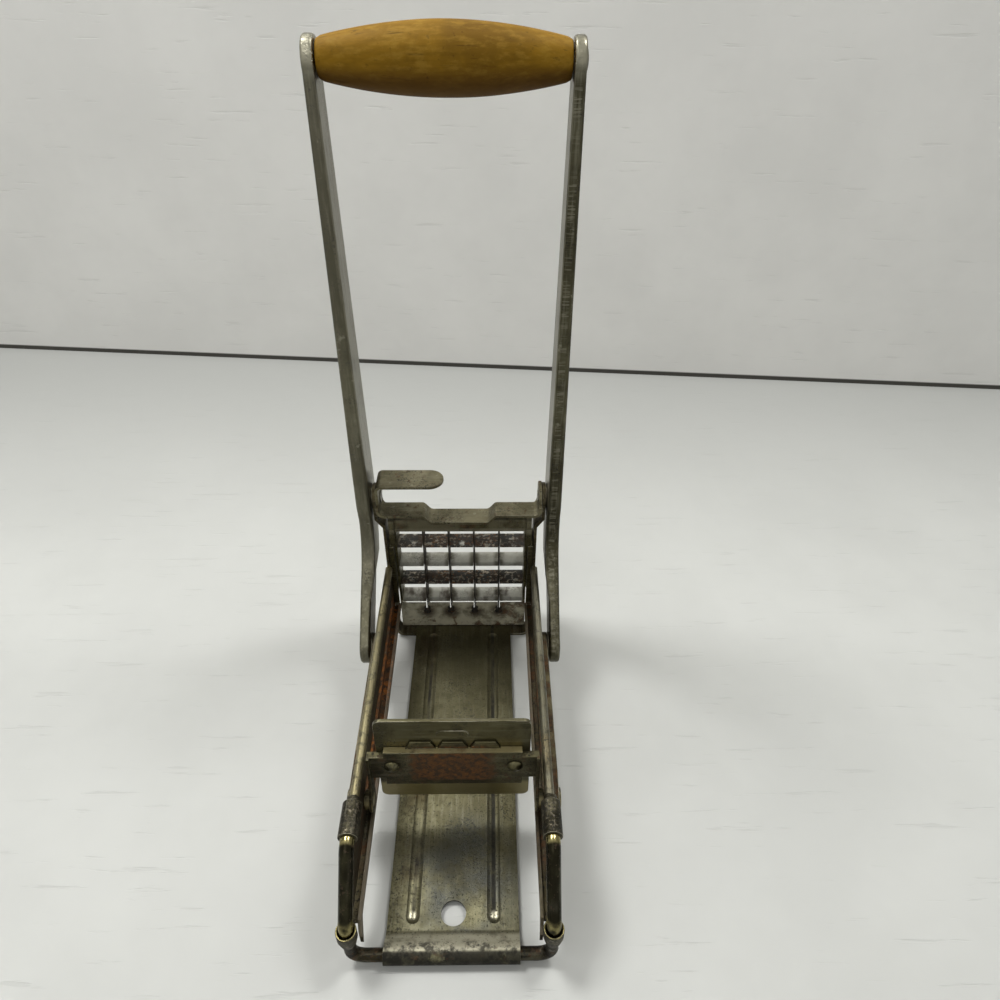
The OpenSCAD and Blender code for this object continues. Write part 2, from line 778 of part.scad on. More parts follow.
// Front view of the bent strip: right ear, stepped crossbar, left ear and the bend to the tab
module latch_strip() {
    step_x = 13;
    step_w = 5;
    steps = 10;
    // underside of the crossbar with its two S-shaped steps
    function low(x) =
        let (t = min(max((abs(x) - step_x) / step_w, 0), 1)) strap_low + joggle * (1 - cos(180 * t)) / 2;
    left_xs = [for (i = [steps:-1:0]) -step_x - i * step_w / steps];
    xs = concat(left_xs, [for (i = [steps:-1:0]) -left_xs[i]]);
    turn_x = latch_out - corner_r;
    tab_turn = -latch_out + tab_corner_r;
    ear_top = fulcrum_z + latch_ear_r + 1;
    polygon(concat(
        [[tab_turn + 1, tab_top]],
        arc(tab_turn, tab_top - tab_corner_r, tab_corner_r, 90, 180, 6),
        arc(-turn_x, wing_low + corner_r, corner_r, 180, 270, 6),
        [for (x = xs) [x, low(x)]],
        arc(turn_x, wing_low + corner_r, corner_r, -90, 0, 6),
        [[latch_out, ear_top], [latch_x, ear_top]],
        arc(turn_x, wing_low + corner_r, corner_r - ear_t, 0, -90, 6),
        [for (i = [len(xs) - 1:-1:0]) [xs[i], low(xs[i]) + ear_t]],
        arc(-turn_x, wing_low + corner_r, corner_r - ear_t, 270, 180, 6),
        arc(tab_turn, tab_top - tab_corner_r, tab_corner_r - ear_t, 180, 90, 6),
        [[tab_turn + 1, tab_top - ear_t]]
    ));
}

module latch() {
    tab_near = fulcrum_y - tab_w / 2;
    tab_end = tab_len - tab_w / 2 - latch_out;
    strap_far = strap_near + strap_w;
    widen_z = wing_low + ear_t + 0.1;
    color(plated) difference() {
        union() {
            intersection() {
                cross_sheet(strap_near - 5, strap_w + 20) latch_strip();
                side_plate(-latch_out - 1, 2 * latch_out + 2) {
                    // the strip widens into the ear above the crossbar
                    difference() {
                        translate([fulcrum_y, fulcrum_z]) circle(latch_ear_r);
                        polygon([
                            [strap_far, widen_z], [strap_far + 9, widen_z + 4],
                            [strap_far + 9, widen_z - 9], [strap_far, widen_z - 9]
                        ]);
                    }
                    translate([strap_near, strap_low - 1])
                        square([strap_w, fulcrum_z - strap_low + 1]);
                }
            }
            // the left ear rises and bends over into the thumb tab
            intersection() {
                cross_sheet(tab_near, tab_w) latch_strip();
                translate([-latch_out - 1, tab_near - 1, fulcrum_z]) cube([latch_out, tab_w + 2, 20]);
            }
            translate([-latch_out + tab_corner_r, tab_near, tab_top - ear_t])
                cube([tab_end + latch_out - tab_corner_r, tab_w, ear_t]);
            translate([tab_end, fulcrum_y, tab_top - ear_t]) cylinder(h = ear_t, r = tab_w / 2);
        }
        both_sides() pin_x(latch_x - 1, latch_x + 3, rivet_r + fit, fulcrum_y, fulcrum_z);
    }
}

// ---------- nodes ----------

base_plate();
foot_tube();
rear_strap();
side_rail(true);  // side_rail_left
side_rail(false);  // side_rail_right
sleeve(true);  // sleeve_left
sleeve(false);  // sleeve_right
end_rod(true);  // end_rod_left
end_rod(false);  // end_rod_right
foot_cup(true);  // foot_cup_left
foot_cup(false);  // foot_cup_right
grid_guide(true);  // grid_guide_left
grid_guide(false);  // grid_guide_right
grid_frame();
vertical_blades();
horizontal_blades();
fulcrum_rivets();
fulcrum_washers();
lever_bar(true);  // lever_bar_left
lever_bar(false);  // lever_bar_right
wood_grip();
grip_rod();
crank_rivets();
crank_washers();
drive_link(true);  // drive_link_left
drive_link(false);  // drive_link_right
link_stud(true);  // link_stud_left
link_stud(false);  // link_stud_right
pusher_plate();
cross_plate();
pusher_rivets();
drive_pins();
pin_bushes();
latch();
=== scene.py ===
"""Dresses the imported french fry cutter: worn steel, rust, varnished wood, stage and camera."""
import math

import bmesh
import bpy
from bpy.props import FloatProperty, FloatVectorProperty, IntProperty, PointerProperty
from mathutils import Matrix, Vector, noise


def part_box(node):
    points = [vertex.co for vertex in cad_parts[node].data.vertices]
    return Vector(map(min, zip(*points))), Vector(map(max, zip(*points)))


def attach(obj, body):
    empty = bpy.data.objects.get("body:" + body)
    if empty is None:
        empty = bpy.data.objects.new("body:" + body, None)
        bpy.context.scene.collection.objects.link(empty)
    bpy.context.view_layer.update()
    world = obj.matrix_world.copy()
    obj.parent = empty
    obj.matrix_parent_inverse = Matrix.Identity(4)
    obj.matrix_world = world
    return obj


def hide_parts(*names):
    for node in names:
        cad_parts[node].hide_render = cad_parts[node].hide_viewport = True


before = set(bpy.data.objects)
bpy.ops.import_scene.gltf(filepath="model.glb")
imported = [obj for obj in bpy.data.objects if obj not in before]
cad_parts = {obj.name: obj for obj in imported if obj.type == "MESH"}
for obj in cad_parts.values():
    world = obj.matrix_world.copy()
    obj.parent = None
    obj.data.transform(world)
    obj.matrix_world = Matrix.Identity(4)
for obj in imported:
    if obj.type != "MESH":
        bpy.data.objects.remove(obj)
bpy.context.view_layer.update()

bl_info = {
    "name": "French Fry Cutter",
    "version": (1, 0, 0),
    "blender": (4, 5, 0),
    "location": "View3D > Sidebar > Fry Cutter",
    "description": "Rounded edges, worn steel, rust and a turned wooden grip for a fry cutter",
    "category": "Object",
}

MM = 0.001

# Stations of the solids, in millimetres, that the patterns of the finishes follow.
UPRIGHT_BLADES_X = (-19.1, -6.4, 6.4, 19.1)
# The black of these rows, and the pale of the others, is a painted reflection.
DARK_ROWS = ((32.85, 0.8), (58.35, 0.78))  # height of a level blade, share that is black
GROOVES = ((-15.75, 0.6, 0.55), (15.75, 0.9, 0.75))  # place, width and share of their grime
GROOVE_END_Y = -76
HOLE_Y = -66
CURL_Y = (-89.6, -84.5)
RAIL_BEAD_Z = (46.6, 50)
KEYHOLE_Z = 16.6
LEDGE_Z = (54.4, 56)
# Top of the painted light on the skirt of the pusher.
PUSHER_SKIRT_Z = 29

WELD = 0.002 * MM  # vertices closer than this are one
FLAT = math.radians(0.6)  # faces that turn less than this are one
GRIP_EASE = 0.9 * MM  # rounding of the rims of the grip
GRIP_BORE_R = 3.2 * MM
GRIP_FULLNESS = 0.85  # below 1 the grip is fuller towards its ends
DENT = 0.12 * MM
EYE_FADE = 1.6  # radii below the eye of a bar over which its drawing in fades out
EYE_CORE = 0.6  # share of the radius within which the bore of the eye stays as it is
NOISE_SPREAD = 0.42  # range of values that holds nearly all of a noise

# Outline of the dark plug in a keyhole, a painted shade, as depth and radius in millimetres.
KEYHOLE_SHADE_PLUG = ((0.25, 0), (0.3, 0.9), (0.45, 1.6), (0.6, 1.95), (0.95, 1.95), (0.95, 0))

# Darker tones of the floor and the backdrop, as shares of their own; the last one is a painted
# shadow of the backdrop on the floor.
CLOUD_SHADE, STREAK_SHADE, FAR_SHADE = 0.93, 0.86, 0.66
ROOM_SEEN = (0.8, 0.8, 0.78, 1)  # tone of the room past the backdrop

# Name, place in metres, power in watts and side in metres of each lamp.
LAMPS = (("lamp left", (-0.42, 0.26, 1.05), 6.0, 0.28),
         ("lamp right", (0.42, 0.28, 1.05), 4.9, 0.28),
         ("window", (-0.3, -0.7, 1.1), 2.4, 0.8))


# ---------------------------------------------------------------- sizes and colours

def srgb(red, green, blue):
    """A colour given as it looks on screen, 0 to 255, as scene-linear values."""
    def linear(value):
        value /= 255
        return value / 12.92 if value <= 0.04045 else ((value + 0.055) / 1.055) ** 2.4
    return linear(red), linear(green), linear(blue)


def shade(tone, share):
    """A tone brought down to this share of its light."""
    return tuple(value * share for value in tone)


def colour(name, description, red, green, blue):
    """A colour setting, from screen values of 0 to 255."""
    return FloatVectorProperty(name=name, description=description, subtype="COLOR", size=3,
                               min=0, max=1, default=srgb(red, green, blue))


def length(name, description, millimetres):
    """A length setting, from millimetres."""
    return FloatProperty(name=name, description=description, subtype="DISTANCE", unit="LENGTH",
                         min=0, default=millimetres * MM)


def angle(name, description, degrees):
    """An angle setting, from degrees."""
    return FloatProperty(name=name, description=description, subtype="ANGLE",
                         default=math.radians(degrees))


class StageSettings(bpy.types.PropertyGroup):
    eye: FloatVectorProperty(name="Camera", description="Place of the camera", size=3,
                             subtype="TRANSLATION", unit="LENGTH",
                             default=(14.6 * MM, -208.0 * MM, 310 * MM))
    pitch: angle("Pitch", "Angle of the view below the horizontal", 37.88)
    yaw: angle("Yaw", "Angle of the view to the right of the long axis", 0.97)
    roll: angle("Roll", "Turn of the camera about the line of sight", 0.46)
    lens: FloatProperty(name="Lens", description="Focal length on a 36 mm sensor", default=27.04)
    floor: colour("Floor", "Pale floor", 205, 206, 201)
    wall: colour("Wall", "Pale backdrop", 243, 242, 237)
    joint: colour("Joint", "Dark gap where the backdrop meets the floor", 62, 60, 54)
    wall_y: length("Wall", "Distance from the origin to the backdrop", 378)
    room_light: FloatProperty(name="Room", description="Strength of the even room light",
                              default=0.3)


class FinishColours(bpy.types.PropertyGroup):
    tin: colour("Tin", "Worn tin plate of the base", 120, 116, 90)
    tin_dark: colour("Dark tin", "Tarnished patches of the plate", 78, 74, 54)
    blued: colour("Blued", "Bluish wear round the hanging hole", 86, 88, 84)
    rail: colour("Rail", "Dull steel of the rails", 112, 103, 78)
    rail_dark: colour("Dark rail", "Dark patches of the rails", 52, 47, 34)
    bead: colour("Bead", "Grey bead of the rails", 112, 110, 94)
    lip: colour("Lip", "Grey-tan lip of the rails", 146, 136, 118)
    olive: colour("Olive", "Yellowish tin of the cassette", 100, 95, 66)
    # On the blades this pale is a painted reflection of the bright room.
    pale: colour("Pale", "Pale wiped tin and blades", 176, 175, 165)
    # Also the painted highlight along the top of the base's curl.
    strip: colour("Strip", "Pale lower strip of the cassette", 196, 191, 168)
    lever: colour("Lever", "Dark olive steel of the lever bars", 86, 83, 66)
    lever_dark: colour("Dark lever", "Dark patches of the lever bars", 54, 51, 38)
    # On the inner sides of the lever bars this is a painted reflection; on the rivets it is their
    # own steel.
    silver_and_sheen: colour("Silver", "Inner sides of the lever bars", 142, 138, 122)
    pusher: colour("Pusher", "Smooth olive pusher plate", 100, 96, 72)
    # Also painted light on the lower skirt of the pusher, and a painted highlight on the upward
    # faces of the ledge.
    ledge: colour("Ledge", "Worn ledge of the cross plate", 176, 164, 122)
    latch: colour("Latch", "Satin olive latch", 134, 128, 104)
    sleeve: colour("Sleeve", "Pitted sleeves and cups", 84, 80, 64)
    # The dark of the rods is a painted dark reflection.
    rod: colour("Rod", "Dark glossy end rods", 52, 50, 36)
    # Painted highlight: on the bends of the rods and on the rims of the cups.
    brass_glint: colour("Brass", "Brassy plating", 158, 148, 102)
    # Also painted highlights: groove ends, window edge, lever eyes, rod streaks and rounded edges.
    edge: colour("Edge", "Bare bright edge", 176, 172, 152)
    rust: colour("Rust", "Brown rust", 100, 63, 22)
    orange: colour("Orange rust", "Fresh rust in the left channel", 150, 88, 24)
    rust_dark: colour("Dark rust", "Old brown rust", 52, 37, 18)
    # Also painted shade and painted dark reflection: under the latch, in the keyholes, on the near
    # face of the curl, on two rows of blades and on the rods.
    pit_and_shade: colour("Pit", "Pits and grime", 24, 22, 16)
    wood: colour("Wood", "Amber varnished wood", 152, 114, 28)
    wood_light: colour("Pale wood", "Rubbed pale wood", 170, 134, 52)
    wood_dark: colour("Wood grain", "Dark grain lines of the wood", 116, 84, 12)
    # Also the painted shade on the underside of the grip.
    wood_stain_and_shade: colour("Wood stain", "Stains of the wood", 66, 42, 6)
    wood_pore: colour("Wood pore", "Pores of the wood", 60, 40, 8)


class DetailSizes(bpy.types.PropertyGroup):
    edge_r: length("Edge", "Rounding of the sheared edges", 0.35)
    bar_edge_r: length("Bar edge", "Rounding of the lever bars", 1.15)
    eye_r: length("Eye", "Radius of the eyes that hold the grip", 7.4)
    grip_d: length("Grip", "Thickness of the grip at its middle", 23.2)
    grip_end_d: length("Grip end", "Thickness of the grip at its ends", 12.8)
    sheet: length("Sheet", "Thickness of the sheet of the cassette", 1.2)
    keyhole_drop: length("Keyhole", "Drop from the lowest level blade to the keyholes", 6)
    blade_t: length("Blade", "Thickness of the blades", 0.8)
    grip_rings: IntProperty(name="Rings", description="Rings along the turned grip", default=48,
                            min=12)


# ---------------------------------------------------------------- mesh tools

def sizes():
    return bpy.context.scene.fry_sizes


def tones():
    return bpy.context.scene.fry_colours


def only(piece):
    """Selects this piece alone and makes it active."""
    if bpy.context.object and bpy.context.object.mode != "OBJECT":
        bpy.ops.object.mode_set(mode="OBJECT")
    bpy.ops.object.select_all(action="DESELECT")
    piece.select_set(True)
    bpy.context.view_layer.objects.active = piece


def add_modifier(piece, kind, **values):
    """Adds a modifier with these settings to a piece and applies it."""
    only(piece)
    modifier = piece.modifiers.new(kind.title(), kind)
    for key, value in values.items():
        setattr(modifier, key, value)
    bpy.ops.object.modifier_apply(modifier=modifier.name)


def dress(piece, body, slot, *materials):
    """Gives a new piece its materials and the body it rides on; its slot is not used."""
    piece.data.materials.clear()
    for material in materials:
        piece.data.materials.append(material)
    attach(piece, body)


def rounded_copy(node, body, radius, face_finish, edge_finish, segments=2, corner=32,
                 clamp=True):
    """A copy of a CAD node with rounded edges, which are bright where the plating has worn and as
    a painted highlight.
    """
    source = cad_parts[node]
    piece = source.copy()
    piece.data = source.data.copy()
    piece.name = node + ".worn"
    piece.parent = None
    piece.matrix_world = Matrix.Identity(4)
    bpy.context.scene.collection.objects.link(piece)
    only(piece)
    bpy.ops.object.mode_set(mode="EDIT")
    bpy.ops.mesh.select_all(action="SELECT")
    bpy.ops.mesh.remove_doubles(threshold=WELD)
    bpy.ops.mesh.dissolve_limited(angle_limit=FLAT, delimit={"NORMAL"})
    bpy.ops.object.mode_set(mode="OBJECT")
    piece.data.materials.clear()
    piece.data.materials.append(face_finish)
    piece.data.materials.append(edge_finish)
    for face in piece.data.polygons:
        face.material_index = 0
    add_modifier(piece, "BEVEL", width=radius, segments=segments, limit_method="ANGLE",
                 angle_limit=math.radians(corner), use_clamp_overlap=clamp, material=1,
                 miter_outer="MITER_SHARP")
    only(piece)
    bpy.ops.object.shade_smooth_by_angle(angle=math.radians(corner))
    add_modifier(piece, "WEIGHTED_NORMAL", keep_sharp=True, weight=60)
    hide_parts(node)
    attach(piece, body)
    return piece


def lathe(name, outline, centre, axis, steps):
    """Spins an outline of (along, radius) points, in metres, about an axis through a centre."""
    bpy.ops.mesh.primitive_plane_add(size=1)
    piece = bpy.context.object
    piece.name = name
    only(piece)
    axis = Vector(axis).normalized()
    side = axis.orthogonal().normalized()
    bpy.ops.object.mode_set(mode="EDIT")
    shape = bmesh.from_edit_mesh(piece.data)
    bmesh.ops.delete(shape, geom=shape.verts[:], context="VERTS")
    points = [shape.verts.new(Vector(centre) + axis * along + side * radius)
              for along, radius in outline]
    for first, second in zip(points, points[1:]):
        shape.edges.new((first, second))
    bmesh.update_edit_mesh(piece.data)
    bpy.ops.mesh.select_all(action="SELECT")
    bpy.ops.mesh.spin(steps=steps, angle=math.tau, center=centre, axis=axis)
    bpy.ops.mesh.select_all(action="SELECT")
    bpy.ops.mesh.remove_doubles(threshold=WELD)
    bpy.ops.mesh.normals_make_consistent(inside=False)
    bpy.ops.object.mode_set(mode="OBJECT")
    only(piece)
    bpy.ops.object.shade_smooth_by_angle(angle=math.radians(40))
    return piece


# ---------------------------------------------------------------- finishes

class Finish:
    """Builds up one procedural material in layers, from patterns in object coordinates."""

    def __init__(self, name, tone, rough=0.4, metal=1.0):
        self.material = bpy.data.materials.new(name)
        self.material.use_nodes = True
        self.tree = self.material.node_tree
        self.shader = self.tree.nodes["Principled BSDF"]
        self.coords = self.add("ShaderNodeTexCoord")
        self.place = self.split(self.coords.outputs["Object"])
        self.facing = self.split(self.coords.outputs["Normal"])
        self.body, self.rough, self.metal, self.height = tone, rough, metal, 0.0

    def add(self, kind):
        """Adds a node of this kind to the material."""
        return self.tree.nodes.new(kind)

    def split(self, vector):
        """The three parts of a vector, by the letter of their axis."""
        node = self.add("ShaderNodeSeparateXYZ")
        self.tree.links.new(vector, node.inputs[0])
        return dict(zip("XYZ", node.outputs))

    def put(self, value, socket):
        """Links a socket, or sets a constant, on an input."""
        if isinstance(value, bpy.types.NodeSocket):
            self.tree.links.new(value, socket)
        elif socket.type == "RGBA":
            socket.default_value = (*value[:3], 1)
        else:
            socket.default_value = value

    def maths(self, operation, first, second=0.0):
        """One sum of two values, each a socket or a number."""
        node = self.add("ShaderNodeMath")
        node.operation = operation
        self.put(first, node.inputs[0])
        self.put(second, node.inputs[1])
        return node.outputs[0]

    def ramp(self, value, low, high):
        """Rises smoothly from 0 at low to 1 at high; falls where low is above high."""
        node = self.add("ShaderNodeMapRange")
        node.interpolation_type = "SMOOTHSTEP"
        self.put(value, node.inputs["Value"])
        node.inputs["From Min"].default_value = min(low, high)
        node.inputs["From Max"].default_value = max(low, high)
        node.inputs["To Min"].default_value = 1 if low > high else 0
        node.inputs["To Max"].default_value = 0 if low > high else 1
        return node.outputs["Result"]

    def noise(self, scale, detail=3, stretch=(1, 1, 1), shift=0.0, distort=0.0):
        """Cloudy pattern, with about scale features to the metre."""
        mapping = self.add("ShaderNodeMapping")
        mapping.inputs["Scale"].default_value = stretch
        mapping.inputs["Location"].default_value = (shift, shift * 0.7, shift * 1.3)
        self.tree.links.new(self.coords.outputs["Object"], mapping.inputs["Vector"])
        node = self.add("ShaderNodeTexNoise")
        self.tree.links.new(mapping.outputs["Vector"], node.inputs["Vector"])
        node.inputs["Scale"].default_value = scale
        node.inputs["Detail"].default_value = detail
        node.inputs["Roughness"].default_value = 0.62
        node.inputs["Distortion"].default_value = distort
        return node.outputs["Fac"]

    def patches(self, scale, share, soft=0.06, **more):
        """Irregular patches that cover about this share of the surface."""
        level = 0.5 + (0.5 - share) * NOISE_SPREAD
        return self.ramp(self.noise(scale, **more), level - soft, level + soft)

    def band(self, axis, low, high, soft=1.0):
        """1 between two stations in millimetres along an axis."""
        rise = self.ramp(self.place[axis], (low - soft) * MM, low * MM)
        return self.maths("MULTIPLY", rise,
                          self.ramp(self.place[axis], (high + soft) * MM, high * MM))

    def around(self, x, y, inner, outer, axes="XY"):
        """1 within the inner radius of a line square to two axes and 0 outside the outer one."""
        dx = self.maths("SUBTRACT", self.place[axes[0]], x * MM)
        dy = self.maths("SUBTRACT", self.place[axes[1]], y * MM)
        square = self.maths("ADD", self.maths("MULTIPLY", dx, dx), self.maths("MULTIPLY", dy, dy))
        return self.ramp(self.maths("SQRT", square), outer * MM, inner * MM)

    def inward(self):
        """1 on faces that look towards the centre line, on either side of it."""
        turned = self.maths("MULTIPLY", self.maths("SIGN", self.place["X"]), self.facing["X"])
        return self.ramp(turned, -0.4, -0.8)

    def both(self, *masks):
        """The area that all these masks share."""
        result = masks[0]
        for mask in masks[1:]:
            result = self.maths("MULTIPLY", result, mask)
        return result

    def blend(self, factor, first, second, kind="FLOAT"):
        """Mixes two values, or two colours where the kind is RGBA, by a factor."""
        node = self.add("ShaderNodeMix")
        node.data_type = kind
        inputs = [socket for socket in node.inputs if socket.enabled and not socket.is_unavailable]
        for value, socket in zip((factor, first, second), inputs):
            self.put(value, socket)
        return next(socket for socket in node.outputs if not socket.is_unavailable)

    def layer(self, tone, mask, amount=1.0, rough=None, metal=None, lift=0.0):
        """Covers the masked area with a tone, and with its own gloss, metal and relief."""
        mask = self.maths("MULTIPLY", mask, amount) if amount != 1 else mask
        self.body = self.blend(mask, self.body, tone, "RGBA")
        if rough is not None:
            self.rough = self.blend(mask, self.rough, rough)
        if metal is not None:
            self.metal = self.blend(mask, self.metal, metal)
        if lift:
            self.height = self.maths("ADD", self.height, self.maths("MULTIPLY", mask, lift))

    def done(self, relief=0.00008):
        """Joins the layers to the shader; relief is the depth of a lift of 1, in metres."""
        for value, key in ((self.body, "Base Color"), (self.rough, "Roughness"),
                           (self.metal, "Metallic")):
            self.put(value, self.shader.inputs[key])
        if isinstance(self.height, bpy.types.NodeSocket):
            node = self.add("ShaderNodeBump")
            node.inputs["Strength"].default_value = 1
            node.inputs["Distance"].default_value = relief
            self.put(self.height, node.inputs["Height"])
            self.tree.links.new(node.outputs["Normal"], self.shader.inputs["Normal"])
        return self.material


# Scale along each axis that draws a pattern out along it.
LONG = {"X": (0.07, 1, 1), "Y": (1, 0.07, 1), "Z": (1, 1, 0.07)}


def steel(name, light, dark, grain="Y", rough=0.36, cloud=24, grime=0.4, specks=0.3, scratches=0.2,
          shift=0.0):
    """Old plated steel before its rust: clouds, mottle, grain, scratches and specks."""
    c = tones()
    f = Finish(name, light, rough)
    f.layer(dark, f.patches(cloud, 0.5, 0.12, detail=5, shift=shift, distort=0.3), 0.75,
            rough + 0.08)
    f.layer(dark, f.patches(150, grime, 0.09, detail=5, shift=shift + 0.3), 0.55, rough + 0.14)
    f.layer(c.edge, f.patches(700, 0.3, 0.12, detail=2, stretch=LONG[grain], shift=shift), 0.14)
    f.layer(c.edge, f.patches(330, 0.13, 0.03, detail=3, stretch=LONG[grain], shift=shift + 0.8),
            scratches, rough - 0.08, lift=-0.2)
    dirt = f.both(f.patches(1200, 0.34, 0.05, detail=3, shift=shift + 0.5),
                  f.patches(60, 0.25 + specks, 0.12, detail=3, shift=shift + 1.5))
    f.layer(c.pit_and_shade, dirt, 0.85, 0.62, 0.5, -1.0)
    return f


def rusted(f, share, scale=60, amount=0.9, where=None, shift=0.0, tone=None):
    """Patches of brown rust with a finer mottle inside them."""
    c = tones()
    mask = f.patches(scale, share, 0.07, detail=7, shift=shift + 0.9, distort=0.5)
    if where is not None:
        mask = f.both(mask, where)
    f.layer(c.rust_dark, mask, amount, 0.75, 0.25, 0.6)
    f.layer(tone or c.rust, f.both(mask, f.patches(420, 0.5, 0.1, detail=5, shift=shift)),
            amount * 0.8, 0.8, 0.1, 0.8)
    return f


def plate_finish(name):
    """Base plate: olive tin with bluish wear, grime in the grooves and round the hanging hole,
    painted highlights at the groove ends and on the top of the curl, and painted shade on the near
    face of the curl.
    """
    c = tones()
    f = steel(name, c.tin, c.tin_dark, "Y", 0.38, 20, 0.42, 0.15, 0.08)
    near_hole = f.around(3, -62, 10, 36)
    f.layer(c.blued, f.both(near_hole, f.patches(60, 0.62, 0.14, detail=6, shift=2.2)), 0.8, 0.32)
    f.layer(c.pit_and_shade, f.both(f.around(0, HOLE_Y, 3, 22), f.patches(70, 0.5, 0.16, detail=6, shift=8)),
            0.55)
    f.layer(c.pit_and_shade, f.both(near_hole, f.patches(1500, 0.24, 0.05, detail=4, shift=1),
                         f.patches(130, 0.6, 0.1, detail=3, shift=4)), 0.65, 0.6)
    f.layer(c.tin_dark, f.both(f.band("Y", 20, 80, 25), f.patches(16, 0.6, 0.15, detail=3)), 0.8)
    for x, wide, share in GROOVES:
        line = f.band("X", x - wide / 2, x + wide / 2, 0.8)
        grime = f.patches(90, share, 0.12, detail=5, stretch=(1, 0.25, 1))
        f.layer(c.pit_and_shade, f.both(line, grime, f.band("Y", -74, 84, 2)), 0.9, 0.6, 0.6, -0.4)
        # Painted highlight on the rounded near end of each groove.
        f.layer(c.edge, f.around(x, GROOVE_END_Y, 0.8, 2.4), 0.6, 0.2)
    f.layer(c.pit_and_shade, f.both(f.band("X", 12, 21, 5), f.patches(1300, 0.24, 0.05, detail=5, shift=6),
                         f.patches(110, 0.5, 0.1, detail=3, shift=2)), 0.65, 0.6, lift=-0.6)
    f.layer(c.rust_dark,
            f.both(f.band("X", -21, -15, 4), f.patches(45, 0.45, 0.1, detail=5, shift=3)),
            0.55, 0.5)
    # Painted highlight: a pale band along the top of the curl.
    curl_highlight = f.band("Y", *CURL_Y, 2.5)
    f.layer(c.strip, f.both(curl_highlight, f.patches(90, 0.9, 0.16, detail=5, stretch=(0.5, 1, 1))), 0.75,
            0.45, 0.4)
    f.layer(c.pit_and_shade, f.patches(1100, 0.2, 0.04, detail=4, shift=12), 0.7, 0.6, lift=-0.6)
    f.layer(c.tin_dark, f.patches(190, 0.3, 0.1, detail=6, shift=14), 0.5)
    # Painted shade: the near face of the curl darkened.
    curl_front_shade = f.band("Y", -95, -91.4, 1.2)
    f.layer(c.pit_and_shade, f.both(curl_front_shade, f.patches(120, 0.92, 0.1, detail=5)), 0.85, 0.6, 0.6)
    f.layer(c.pit_and_shade, f.both(f.band("Y", -95, -88, 2), f.patches(260, 0.4, 0.07, detail=6, shift=4)),
            0.8, 0.7)
    rusted(f, 0.12, 170, 0.6, f.band("Y", -95, -87.5, 2), 4.0)
    return f.done()


def rail_finish(name):
    """Side rails: grey mottled bead, dark brown channel with orange rust on its floor."""
    c = tones()
    f = steel(name, c.rail, c.rail_dark, "Y", 0.42, 28, 0.5, 0.4, 0.15)
    channel = f.both(f.inward(), f.band("Z", 20, 44.5, 1))
    f.layer(c.rust_dark, channel, 0.62, 0.6, 0.5)
    f.layer(c.pit_and_shade, f.both(channel, f.patches(40, 0.45, 0.1, detail=5, stretch=LONG["Y"])), 0.7,
            0.6)
    rusted(f, 0.8, 90, 1.0, f.both(f.band("Z", 10, 26, 6), f.band("X", -40, -33.2, 0.8),
                                   f.band("Y", -30, 80, 12)), 0.4, c.orange)
    rusted(f, 0.42, 80, 0.8, f.both(f.band("Z", 10, 30, 6), f.band("Y", -60, 80, 10)), 2.4)
    f.layer(c.lip, f.both(f.band("X", -34.1, 34.1, 0.1), f.band("Z", 12, 21.5, 0.5),
                          f.patches(70, 0.7, 0.14, detail=5, stretch=LONG["Y"])), 0.7, 0.4)
    bead = f.band("Z", *RAIL_BEAD_Z, 1.2)
    f.layer(c.bead, f.both(bead, f.patches(75, 0.6, 0.12, detail=5)), 0.7, 0.32)
    f.layer(c.edge, f.both(bead, f.band("X", 30, 45, 1),
                           f.patches(90, 0.4, 0.14, detail=6, stretch=(1, 0.3, 1))), 0.45, 0.3)
    f.layer(c.ledge, f.both(f.band("Z", 46, 50, 1.2), f.band("X", -45, -30, 1),
                            f.patches(60, 0.85, 0.14, detail=6, stretch=(1, 0.4, 1))), 0.45, 0.4)
    f.layer(c.pit_and_shade, f.both(f.band("Z", 44, 50, 1), f.patches(240, 0.3, 0.07, detail=5, shift=5)),
            0.6, 0.6, 0.5, -0.6)
    return f.done()


def grid_finish(name):
    """Cassette: pale lower strip with brown runs below the slits, olive top with rust, painted
    shade in the keyholes and under the latch, and a painted highlight along the top of the window.
    """
    c = tones()
    f = steel(name, c.olive, c.tin_dark, "X", 0.4, 35, 0.45, 0.4, 0.1)
    low = f.band("Z", -2, 21, 1.5)
    f.layer(c.strip, f.both(low, f.patches(60, 0.86, 0.16, detail=5, shift=1.7)), 0.95, 0.5, 0.15)
    f.layer(c.tin_dark, f.both(low, f.patches(150, 0.3, 0.1, detail=6, shift=0.7)), 0.7)
    for slit in UPRIGHT_BLADES_X:
        run = f.both(f.around(slit, 14, 2, 7.5, "XZ"),
                     f.patches(210, 0.8, 0.1, detail=6, shift=slit))
        f.layer(c.rust_dark, run, 0.9, 0.7, 0.3)
        # Painted shade: a black disc at each keyhole.
        f.layer(c.pit_and_shade, f.around(slit, KEYHOLE_Z, 1.3, 2.2, "XZ"), 1.0, 0.8, 0.2)
    rusted(f, 0.5, 120, 0.7, f.both(f.band("X", 22, 34, 6), low), 6.0)
    rusted(f, 0.3, 160, 0.8, f.band("Z", 2, 8, 3), 5.0)
    rusted(f, 0.34, 190, 0.75, f.band("Z", 72, 90, 3), 3.1)
    f.layer(c.latch, f.both(f.band("Z", 69, 90, 1), f.patches(90, 0.6, 0.14, detail=5, shift=9)),
            0.75, 0.45, 0.6)
    # Painted shade under the wings of the latch, along the top of the frame.
    f.layer(c.pit_and_shade, f.both(f.band("Z", 78, 90, 1.5), f.patches(70, 0.7, 0.15)), 0.8, 0.7)
    # Painted highlight along the top edge of the window.
    f.layer(c.edge,
            f.both(f.band("Z", 69.8, 71.6, 0.5), f.patches(50, 0.75, 0.15, stretch=LONG["X"])),
            0.9, 0.28, 0.7)
    return f.done()


